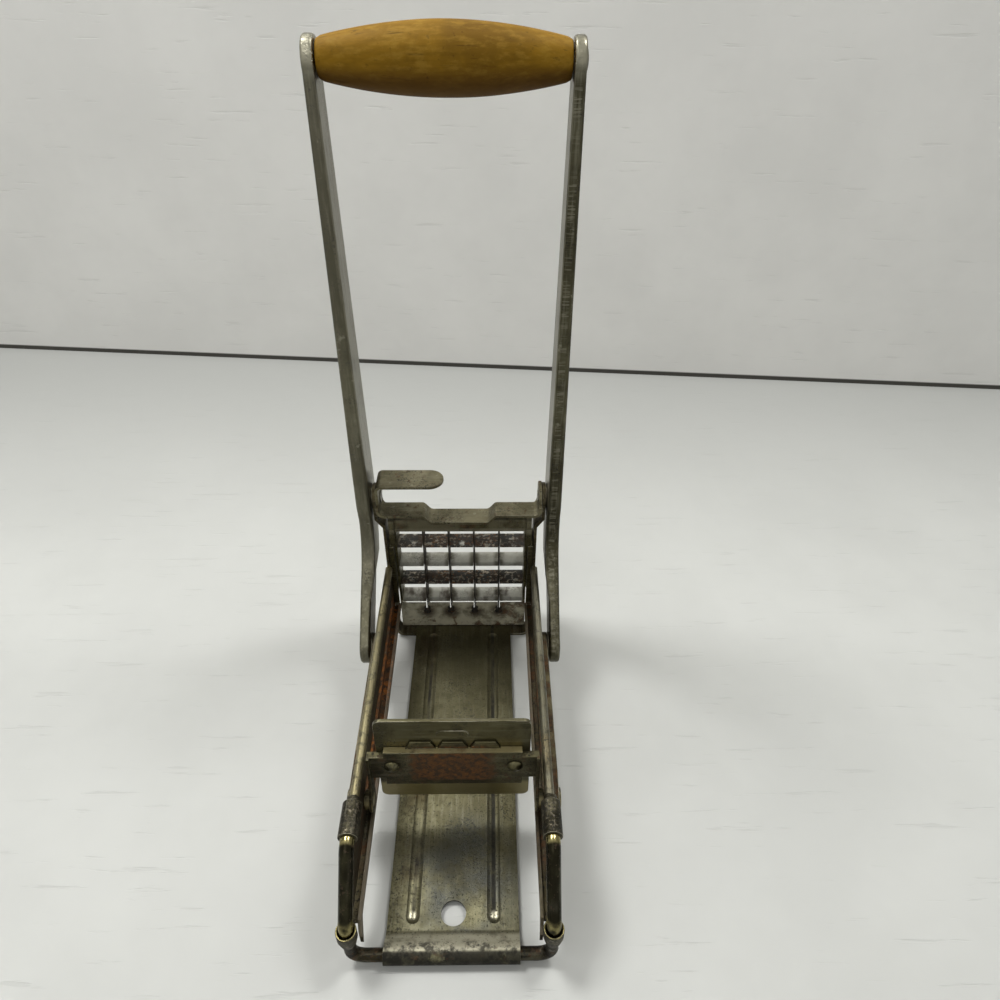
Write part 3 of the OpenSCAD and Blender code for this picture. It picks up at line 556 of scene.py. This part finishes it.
def blade_finish(name):
    """Level blades: two rows pale with brown streaks, two black with rust and pale patches; the
    pale and the black are a painted reflection.
    """
    c = tones()
    # The pale tone is a painted reflection of the bright room.
    f = steel(name, c.pale, c.tin_dark, "X", 0.34, 60, 0.2, 0.1, 0.1)
    f.metal = 0.6
    f.layer(c.pale, f.patches(45, 0.62, 0.12, detail=5, shift=9), 0.7, 0.34)
    for upright in UPRIGHT_BLADES_X:
        f.layer(c.tin_dark, f.both(f.band("X", upright - 1, upright + 1, 2.5),
                                   f.patches(160, 0.6, 0.1, detail=6, shift=upright)), 0.8, 0.5)
    streaks = f.patches(110, 0.36, 0.09, detail=5, stretch=(1, 0.5, 1), shift=0.4)
    f.layer(c.rust_dark, f.both(f.band("Z", 17, 27, 3), streaks), 0.8, 0.6, 0.5)
    # Painted dark reflection: two rows mostly black, with rust and pale patches on it.
    for row, share in DARK_ROWS:
        here = f.band("Z", row - 3, row + 3, 1)
        f.layer(c.pit_and_shade, f.both(here, f.patches(260, share, 0.07, detail=6, shift=row)), 0.97, 0.6,
                0.4)
        f.layer(c.rust_dark, f.both(here, f.patches(190, 0.42, 0.1, detail=6, shift=row + 2)), 0.8,
                0.7, 0.3)
        f.layer(c.rust, f.both(here, f.patches(700, 0.3, 0.06, detail=5, shift=row + 1),
                               f.band("X", -14, 16, 8)), 0.7, 0.7, 0.3)
        f.layer(c.lip, f.both(here, f.patches(520, 0.34, 0.05, detail=6, shift=row + 4),
                              f.patches(90, 0.6, 0.1, detail=3, shift=row)), 0.8, 0.4, 0.5)
    return f.done()


def upright_finish(name):
    """Upright blades, dark with brown grime where they cross the level ones."""
    c = tones()
    f = steel(name, c.rail_dark, c.pit_and_shade, "Z", 0.55, 60, 0.5, 0.3, 0.05)
    f.metal = 0.4
    f.shader.inputs["Specular IOR Level"].default_value = 0.2
    return rusted(f, 0.3, 220, 0.7).done()


def lever_finish(name):
    """Lever bars: dark olive fronts, inner sides painted lighter as a painted reflection, with
    streaks, a ticked outer edge and a painted highlight on the eye.
    """
    c = tones()
    f = steel(name, c.lever, c.lever_dark, "Z", 0.34, 18, 0.3, 0.2, 0.06)
    # Painted reflection: faces towards the centre line lighter than the fronts.
    inner = f.inward()
    f.layer(c.silver_and_sheen, f.both(inner, f.patches(40, 0.72, 0.2, detail=4, stretch=LONG["Z"])), 0.8,
            0.3)
    f.layer(c.lever_dark,
            f.both(inner, f.patches(420, 0.38, 0.06, detail=3, stretch=(1, 1, 0.2))), 0.6)
    f.layer(c.silver_and_sheen, f.both(f.band("X", -60, 0, 1), f.patches(30, 0.5, 0.2, stretch=LONG["Z"])),
            0.35)
    ticks = f.both(f.band("X", 43.4, 45.6, 0.6),
                   f.patches(1200, 0.4, 0.06, stretch=(0.08, 0.08, 1)),
                   f.patches(60, 0.6, 0.12, stretch=(0.2, 0.2, 1), shift=3))
    f.layer(c.silver_and_sheen, ticks, 0.45, 0.3, lift=0.5)
    f.layer(c.edge, f.patches(260, 0.1, 0.05, detail=4, shift=7), 0.3, 0.3)
    # Painted highlight on the eye at the top of each bar.
    eye_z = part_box("wood_grip")[1].z / MM - sizes().grip_d / MM / 2
    f.layer(c.edge, f.both(f.band("Z", eye_z, eye_z + 30, 8), f.patches(60, 0.6, 0.2, shift=5)),
            0.6, 0.2)
    return f.done()


def link_finish(name):
    """Drive links: dull steel with brown rust over half of it."""
    f = steel(name, tones().rail, tones().rail_dark, "Y", 0.45, 30, 0.5, 0.4, 0.2)
    return rusted(f, 0.5, 70, 0.8, None, 1.0).done()


def pusher_finish(name):
    """Pusher plate: smooth dark olive with faint wipes, and painted light on its lower skirt,
    which lies in shade.
    """
    c = tones()
    f = steel(name, c.pusher, c.rail_dark, "X", 0.32, 22, 0.28, 0.12, 0.06)
    f.layer(c.olive, f.patches(50, 0.35, 0.12, detail=5, shift=5.0), 0.4, 0.28)
    # Painted light: the lower skirt lightened where the cross plate shades it.
    f.layer(c.ledge, f.band("Z", -2, PUSHER_SKIRT_Z, 3), 0.6)
    return f.done()


def cross_finish(name):
    """Cross plate: olive ends, brown rust over the middle and a pale ledge, worn and with a
    painted highlight on its upward faces.
    """
    c = tones()
    f = steel(name, c.pusher, c.rail_dark, "X", 0.42, 40, 0.45, 0.4, 0.1)
    middle = f.both(f.band("X", -10, 10, 14), f.band("Z", 39, 54.2, 5))
    spread = f.ramp(f.maths("ADD", middle, f.maths("MULTIPLY", f.noise(130, 6, shift=0.6), 1.2)),
                    0.95, 1.5)
    f.layer(c.rust_dark, spread, 0.95, 0.75, 0.25, 0.6)
    f.layer(c.rust, f.both(spread, f.patches(420, 0.5, 0.1, detail=6, shift=0.4)), 0.8, 0.8, 0.1,
            0.8)
    f.layer(c.orange, f.both(spread, f.patches(900, 0.28, 0.06, detail=5, shift=2)), 0.3, 0.8, 0.1)
    rusted(f, 0.3, 260, 0.6, f.band("Z", 34, 53, 1), 2.6)
    # Painted highlight on the upward faces of the ledge, over its wear.
    ledge = f.both(f.ramp(f.facing["Z"], 0.6, 0.9), f.band("Z", *LEDGE_Z, 0.3))
    f.layer(c.ledge, f.both(ledge, f.patches(110, 0.75, 0.12, detail=5)), 0.9, 0.4, 0.6)
    return f.done()


def latch_finish(name):
    """Latch: satin olive with small brown specks."""
    c = tones()
    f = steel(name, c.latch, c.tin_dark, "X", 0.4, 28, 0.25, 0.2, 0.08)
    rusted(f, 0.2, 330, 0.7, None, 2.0)
    f.layer(c.edge, f.patches(420, 0.14, 0.05, detail=4, shift=4), 0.3, 0.3)
    return f.done()


def pitted_finish(name):
    """Crimped sleeves, cups and tube: dark, pitted, with pale worn specks."""
    c = tones()
    f = steel(name, c.sleeve, c.pit_and_shade, "Y", 0.46, 60, 0.5, 0.45, 0.2)
    f.layer(c.lip, f.patches(800, 0.3, 0.08, detail=5, shift=2), 0.45, 0.4, lift=0.4)
    f.layer(c.pit_and_shade, f.patches(260, 0.3, 0.07, detail=5, shift=6), 0.75, 0.6, 0.5, -0.8)
    f.layer(c.lip, f.both(f.band("Z", -1, 10, 2), f.patches(120, 0.45, 0.1, detail=5, shift=8)),
            0.6)
    return f.done()


def tube_finish(name):
    """Foot tube: near-black steel with brown grime and a few pale scratches."""
    c = tones()
    f = steel(name, c.rail_dark, c.pit_and_shade, "X", 0.42, 60, 0.5, 0.45, 0.3)
    f.layer(c.sleeve, f.patches(130, 0.3, 0.1, detail=6, shift=3), 0.6)
    f.layer(c.strip, f.patches(110, 0.17, 0.05, detail=6, shift=7), 0.6, 0.5, 0.4)
    return rusted(f, 0.3, 210, 0.6, None, 2.0).done()


def keyhole_shade_finish(name):
    """Painted shade in the keyholes: nearly black and matt, with brown specks."""
    f = Finish(name, tones().pit_and_shade, 0.75, 0.1)
    return rusted(f, 0.4, 600, 0.5).done()


def rivet_finish(name):
    """Rivets, washers and pins: wiped steel with a little rust."""
    f = steel(name, tones().silver_and_sheen, tones().rail_dark, "X", 0.28, 120, 0.35, 0.3, 0.2)
    return rusted(f, 0.15, 300, 0.6).done()


def edge_finish(name):
    """Worn edges: bare steel in patches, the rest as dull as the faces; the bare patches are also
    a painted highlight.
    """
    c = tones()
    f = steel(name, c.tin_dark, c.rail_dark, "Y", 0.36, 60, 0.4, 0.3, 0.2)
    f.layer(c.edge, f.patches(85, 0.5, 0.12, detail=5, shift=1.2), 0.42, 0.3)
    return f.done()


def rod_reflection_finish(name):
    """End rods: dark glossy plating, near-black as a painted dark reflection, with painted brassy
    highlights at the bends by the sleeve and by the cup, and painted highlight streaks.
    """
    c = tones()
    # The near-black tone and the dark patches are a painted dark reflection, with some tarnish.
    f = Finish(name, c.rod, 0.16)
    f.layer(c.pit_and_shade, f.patches(90, 0.6, 0.12, detail=5), 0.75, 0.22)
    # Painted brassy highlights at the bend by the sleeve and by the cup.
    f.layer(c.brass_glint, f.band("Y", -70.4, -60, 1.6), 0.85, 0.18)
    f.layer(c.brass_glint, f.both(f.band("Z", 10, 27.5, 2), f.patches(160, 0.6, 0.1)), 0.7, 0.2)
    # Painted highlight streaks along the rods.
    f.layer(c.edge,
            f.both(f.band("Y", -86, -74, 3), f.patches(60, 0.28, 0.1, stretch=(1, 0.3, 0.3))),
            0.4, 0.14)
    f.layer(c.rust_dark, f.patches(520, 0.22, 0.05, detail=4, shift=3), 0.7, 0.6, 0.4, -0.4)
    return f.done(0.00004)


def rim_glint_finish(name):
    """Brassy plating on the rims of the cups, brightened as a painted highlight."""
    c = tones()
    f = Finish(name, c.brass_glint, 0.22)
    f.layer(c.rod, f.patches(170, 0.4, 0.1, detail=5), 0.8, 0.3)
    return f.done(0.00004)


def varnished_wood(name):
    """Turned wood under old varnish: fine grain along the grip, pores, stains, soft dents and
    painted shade on the underside.
    """
    c = tones()
    f = Finish(name, c.wood, 0.6, 0.0)
    f.layer(c.wood_dark, f.patches(60, 0.45, 0.2, detail=6, stretch=(0.3, 1, 1), distort=0.8), 0.6)
    f.layer(c.wood_dark, f.patches(700, 0.4, 0.12, detail=3, stretch=(0.06, 1, 1), shift=1), 0.4,
            0.62, lift=-0.3)
    f.layer(c.wood_pore, f.patches(900, 0.07, 0.04, detail=2, stretch=(0.05, 1, 1), shift=2), 0.45,
            0.6, lift=-0.6)
    f.layer(c.wood_stain_and_shade, f.patches(34, 0.4, 0.12, detail=6, shift=2.1, distort=0.6), 0.4)
    f.layer(c.wood_pore, f.patches(500, 0.12, 0.05, detail=6, shift=9), 0.55)
    f.layer(c.wood_light, f.patches(420, 0.34, 0.1, detail=6, stretch=(0.4, 1, 1), shift=4), 0.4,
            0.6)
    f.layer(c.wood_pore, f.patches(230, 0.08, 0.02, detail=2, stretch=(0.05, 1, 1), shift=5.3),
            0.6, 0.7, lift=-0.8)
    # Painted shade: the downward faces of the grip darkened.
    f.layer(c.wood_stain_and_shade, f.ramp(f.facing["Z"], 0.1, -0.6), 0.85)
    f.shader.inputs["Specular IOR Level"].default_value = 0.1
    return f.done(0.00006)


RECIPES = {
    "plate": plate_finish, "rail": rail_finish, "grid": grid_finish, "blade": blade_finish,
    "upright": upright_finish, "lever": lever_finish, "link": link_finish,
    "pusher": pusher_finish, "cross": cross_finish, "latch": latch_finish,
    "pitted": pitted_finish, "grime": keyhole_shade_finish, "tube": tube_finish, "rivet": rivet_finish,
    "edge": edge_finish, "plating": rod_reflection_finish, "brass_glint": rim_glint_finish, "wood": varnished_wood,
}
FINISHES = {}


def finish(name):
    """The finish of that name, made when it is first asked for."""
    if name not in FINISHES:
        FINISHES[name] = RECIPES[name](name)
    return FINISHES[name]


# ---------------------------------------------------------------- pieces

class DressOperator(bpy.types.Operator):
    """What the steps share: each one builds its own pieces."""
    bl_options = {"REGISTER", "UNDO"}

    def execute(self, context):
        self.build(context)
        return {"FINISHED"}


class FRYCUT_OT_stage(DressOperator):
    """Adds the pale floor, the backdrop, the soft lights and the camera"""
    bl_idname = "frycut.stage"
    bl_label = "Stage"

    def build(self, context):
        stage = context.scene.fry_stage
        self.lay_planes(context, stage)
        self.light_room(context, stage)
        self.hang_lamps(context)
        self.set_camera(context, stage)

    def lay_planes(self, context, stage):
        """Lays the floor and stands up the backdrop, with a dark joint where they meet and a
        painted shadow of the backdrop on the floor near it.
        """
        bpy.ops.mesh.primitive_plane_add(size=6, location=(0, 0, 0))
        floor = context.object
        floor.name = "floor"
        bpy.ops.mesh.primitive_plane_add(size=6, location=(0, stage.wall_y, 0),
                                         rotation=(math.radians(90), 0, math.radians(-5)))
        wall = context.object
        wall.name = "backdrop"
        for plane, tone in ((floor, stage.floor), (wall, stage.wall)):
            paint = Finish(plane.name + " paint", tone, 0.7, 0.0)
            paint.layer(shade(tone, CLOUD_SHADE), paint.patches(9, 0.5, 0.2, detail=4))
            streaks = paint.patches(260, 0.15, 0.04, detail=4, stretch=(0.08, 1, 1))
            paint.layer(shade(tone, STREAK_SHADE), streaks, 0.6, lift=-1)
            if plane is floor:
                # Painted shadow: the floor darkens towards the backdrop, as in the backdrop's
                # shade.
                far_painted_shadow = paint.ramp(paint.place["Y"], 60 * MM, 400 * MM)
                paint.layer(shade(tone, FAR_SHADE), far_painted_shadow)
            else:
                paint.layer(stage.joint, paint.band("Y", -2, 3.2, 1.2))
            plane.data.materials.append(paint.done(0.0002))

    def light_room(self, context, stage):
        """Lights the room evenly; cameras, gloss and glass see it in a fixed pale tone."""
        world = bpy.data.worlds.new("soft room")
        context.scene.world = world
        world.use_nodes = True
        tree = world.node_tree
        link = tree.links.new
        room = tree.nodes["Background"]
        room.inputs["Color"].default_value = (1, 1, 1, 1)
        room.inputs["Strength"].default_value = stage.room_light
        seen = tree.nodes.new("ShaderNodeBackground")
        seen.inputs["Color"].default_value = ROOM_SEEN
        seen.inputs["Strength"].default_value = 1
        path = tree.nodes.new("ShaderNodeLightPath")
        direct = path.outputs["Is Camera Ray"]
        for kind in ("Is Glossy Ray", "Is Transmission Ray"):
            either = tree.nodes.new("ShaderNodeMath")
            either.operation = "MAXIMUM"
            link(direct, either.inputs[0])
            link(path.outputs[kind], either.inputs[1])
            direct = either.outputs[0]
        pick = tree.nodes.new("ShaderNodeMixShader")
        link(direct, pick.inputs[0])
        link(room.outputs[0], pick.inputs[1])
        link(seen.outputs[0], pick.inputs[2])
        link(pick.outputs[0], tree.nodes["World Output"].inputs["Surface"])

    def hang_lamps(self, context):
        """Hangs the lamps, each turned towards the object."""
        for name, place, power, size in LAMPS:
            bpy.ops.object.light_add(type="AREA", location=place)
            lamp = context.object
            lamp.name = name
            lamp.data.energy = power
            lamp.data.size = size
            lamp.rotation_euler = Vector(place).to_track_quat("Z", "Y").to_euler()

    def set_camera(self, context, stage):
        """Places the camera as in the photograph and keeps the colours as they are."""
        bpy.ops.object.camera_add()
        camera = context.object
        camera.data.sensor_width = 36
        camera.data.lens = stage.lens
        camera.data.clip_start = 0.01
        camera.matrix_world = (Matrix.Translation(stage.eye)
                               @ Matrix.Rotation(-stage.yaw, 4, "Z")
                               @ Matrix.Rotation(math.radians(90) - stage.pitch, 4, "X")
                               @ Matrix.Rotation(stage.roll, 4, "Z"))
        context.scene.camera = camera
        context.scene.view_settings.view_transform = "Standard"


class FRYCUT_OT_base(DressOperator):
    """Rounds and finishes the base plate, the foot tube and the rear strap"""
    bl_idname = "frycut.base"
    bl_label = "Base"

    def build(self, context):
        edge = sizes().edge_r
        rounded_copy("base_plate", "frame", edge, finish("plate"), finish("edge"))
        rounded_copy("rear_strap", "frame", edge, finish("rail"), finish("edge"))
        rounded_copy("foot_tube", "frame", edge, finish("tube"), finish("tube"))


class FRYCUT_OT_rails(DressOperator):
    """Rounds and finishes the two side rails and the channel guides"""
    bl_idname = "frycut.rails"
    bl_label = "Side rails"

    def build(self, context):
        edge = sizes().edge_r
        for side in ("left", "right"):
            rounded_copy("side_rail_" + side, "frame", edge, finish("rail"),
                         finish("edge"))
            rounded_copy("grid_guide_" + side, "frame", edge, finish("grid"),
                         finish("edge"))


class FRYCUT_OT_hand_end(DressOperator):
    """Finishes the sleeves, the bent end rods and the foot cups"""
    bl_idname = "frycut.hand_end"
    bl_label = "Hand end"

    def build(self, context):
        edge = sizes().edge_r
        for side in ("left", "right"):
            rounded_copy("sleeve_" + side, "frame", edge * 0.6, finish("pitted"),
                         finish("edge"))
            rounded_copy("end_rod_" + side, "frame", edge * 0.5, finish("plating"),
                         finish("plating"))
            # The rims of the cups take a painted highlight.
            rounded_copy("foot_cup_" + side, "frame", edge * 0.4, finish("pitted"),
                         finish("brass_glint"))


class FRYCUT_OT_grid(DressOperator):
    """Finishes the cassette frame and its blades, and fills the keyholes with dark plugs as
    painted shade
    """
    bl_idname = "frycut.grid"
    bl_label = "Cutting grid"

    def build(self, context):
        edge = sizes().edge_r
        rounded_copy("grid_frame", "frame", edge, finish("grid"), finish("edge"))
        for node, tone in (("vertical_blades", "upright"), ("horizontal_blades", "blade")):
            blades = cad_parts[node]
            blades.data.materials.clear()
            blades.data.materials.append(finish(tone))
        self.fill_keyholes()

    def fill_keyholes(self):
        """Dark plugs in the round ends of the slits below the upright blades, as painted shade in
        the keyholes.
        """
        low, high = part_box("horizontal_blades")
        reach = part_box("vertical_blades")[1].x - sizes().blade_t / 2
        outline = [(along * MM, radius * MM) for along, radius in KEYHOLE_SHADE_PLUG]
        face_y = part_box("grid_frame")[0].y + sizes().sheet
        for i in range(4):
            centre = (reach * (i * 2 / 3 - 1), face_y, low.z - sizes().keyhole_drop)
            # Each plug is painted shade, under the finish named grime.
            plug = lathe("grime.%d" % (i + 1), outline, centre, (0, 1, 0), steps=24)
            dress(plug, "frame", "dark_steel", finish("grime"))


class FRYCUT_OT_lever(DressOperator):
    """Rounds and finishes the lever bars, the grip rod, the rivets and the washers"""
    bl_idname = "frycut.lever"
    bl_label = "Lever"

    def build(self, context):
        low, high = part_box("wood_grip")
        pivot = (low + high) / 2
        for side in ("left", "right"):
            bar = rounded_copy("lever_bar_" + side, "handle", sizes().bar_edge_r,
                               finish("lever"), finish("lever"), segments=3, clamp=False)
            self.shape_eye(bar, pivot)
        edge = sizes().edge_r
        for node, body in (("fulcrum_rivets", "frame"), ("fulcrum_washers", "frame"),
                           ("grip_rod", "handle"), ("crank_rivets", "handle"),
                           ("crank_washers", "handle")):
            rounded_copy(node, body, edge * 0.5, finish("rivet"), finish("edge"))

    def shape_eye(self, bar, pivot):
        """Draws the eye of a bar in to its radius, and lets that fade out down the neck."""
        full = max(vertex.co.z for vertex in bar.data.vertices) - pivot.z
        for vertex in bar.data.vertices:
            out = Vector((0, vertex.co.y - pivot.y, vertex.co.z - pivot.z))
            fade = min(max((out.z / full + EYE_FADE) / EYE_FADE, 0), 1)
            if out.length > full * EYE_CORE:
                vertex.co -= out * (1 - sizes().eye_r / full) * fade
        bar.data.update()


class FRYCUT_OT_grip(DressOperator):
    """Turns the wooden grip, with eased ends and slight dents"""
    bl_idname = "frycut.grip"
    bl_label = "Wooden grip"

    def build(self, context):
        low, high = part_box("wood_grip")
        centre = (low + high) / 2
        half = (high.x - low.x) / 2
        big = sizes().grip_d / 2
        small = sizes().grip_end_d / 2
        ease = GRIP_EASE
        outline = [(-half + 0.05 * MM, GRIP_BORE_R), (-half + 0.05 * MM, small - ease * 1.1)]
        outline += [(-half + ease * (1 - math.cos(turn)),
                     small - ease + ease * math.sin(turn) * 0.98) for turn in (0.5, 0.9, 1.3)]
        count = sizes().grip_rings
        for i in range(1, count):
            x = -half + 2 * half * i / count
            if abs(x) > half - ease:
                continue
            swell = math.cos(math.pi / 2 * x / half) ** GRIP_FULLNESS
            outline.append((x, small + (big - small) * swell))
        outline += [(-along, radius) for along, radius in reversed(outline[:5])]
        grip = lathe("grip.turned", outline, centre, (1, 0, 0), steps=96)
        for vertex in grip.data.vertices:
            out = Vector((0, vertex.co.y - centre.y, vertex.co.z - centre.z))
            if out.length > 5 * MM:
                dent = noise.noise(vertex.co * 55) * DENT - DENT
                vertex.co += out.normalized() * dent
        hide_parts("wood_grip")
        dress(grip, "handle", "grip_wood", finish("wood"))


class FRYCUT_OT_links(DressOperator):
    """Rounds and finishes the drive links and their studs"""
    bl_idname = "frycut.links"
    bl_label = "Drive links"

    def build(self, context):
        edge = sizes().edge_r
        for side in ("left", "right"):
            rounded_copy("drive_link_" + side, "link_" + side, edge,
                         finish("link"), finish("edge"))
            rounded_copy("link_stud_" + side, "link_" + side, edge * 0.5,
                         finish("rivet"), finish("edge"))


class FRYCUT_OT_pusher(DressOperator):
    """Rounds and finishes the pusher plate, the cross plate, their rivets, pins and bushes"""
    bl_idname = "frycut.pusher"
    bl_label = "Pusher"

    def build(self, context):
        edge = sizes().edge_r
        rounded_copy("pusher_plate", "pusher", edge, finish("pusher"), finish("edge"))
        rounded_copy("cross_plate", "pusher", edge, finish("cross"),
                     finish("pusher"))
        for node in ("pusher_rivets", "drive_pins", "pin_bushes"):
            rounded_copy(node, "pusher", edge * 0.5, finish("pusher"),
                         finish("pusher"))


class FRYCUT_OT_latch(DressOperator):
    """Rounds and finishes the latch across the top of the grid"""
    bl_idname = "frycut.latch"
    bl_label = "Latch"

    def build(self, context):
        rounded_copy("latch", "latch", sizes().edge_r, finish("latch"),
                     finish("edge"))


class FRYCUT_PT_panel(bpy.types.Panel):
    """Sizes, colours and build steps of the fry cutter"""
    bl_idname = "FRYCUT_PT_panel"
    bl_label = "Fry Cutter"
    bl_space_type = "VIEW_3D"
    bl_region_type = "UI"
    bl_category = "Fry Cutter"

    def draw(self, context):
        for step in STEPS:
            self.layout.operator(step.bl_idname)
        for group in (context.scene.fry_stage, context.scene.fry_colours,
                      context.scene.fry_sizes):
            box = self.layout.box()
            for key in group.__annotations__:
                box.prop(group, key)


STEPS = (FRYCUT_OT_stage, FRYCUT_OT_base, FRYCUT_OT_rails, FRYCUT_OT_hand_end, FRYCUT_OT_grid,
         FRYCUT_OT_lever, FRYCUT_OT_grip, FRYCUT_OT_links, FRYCUT_OT_pusher, FRYCUT_OT_latch)
CLASSES = (StageSettings, FinishColours, DetailSizes, *STEPS, FRYCUT_PT_panel)


def register():
    for kind in CLASSES:
        bpy.utils.register_class(kind)
    bpy.types.Scene.fry_stage = PointerProperty(type=StageSettings)
    bpy.types.Scene.fry_colours = PointerProperty(type=FinishColours)
    bpy.types.Scene.fry_sizes = PointerProperty(type=DetailSizes)


def unregister():
    for key in ("fry_stage", "fry_colours", "fry_sizes"):
        delattr(bpy.types.Scene, key)
    for kind in reversed(CLASSES):
        bpy.utils.unregister_class(kind)


def main():
    register()
    for step in STEPS:
        group, action = step.bl_idname.split(".")
        getattr(getattr(bpy.ops, group), action)()


if __name__ == "__main__":
    main()
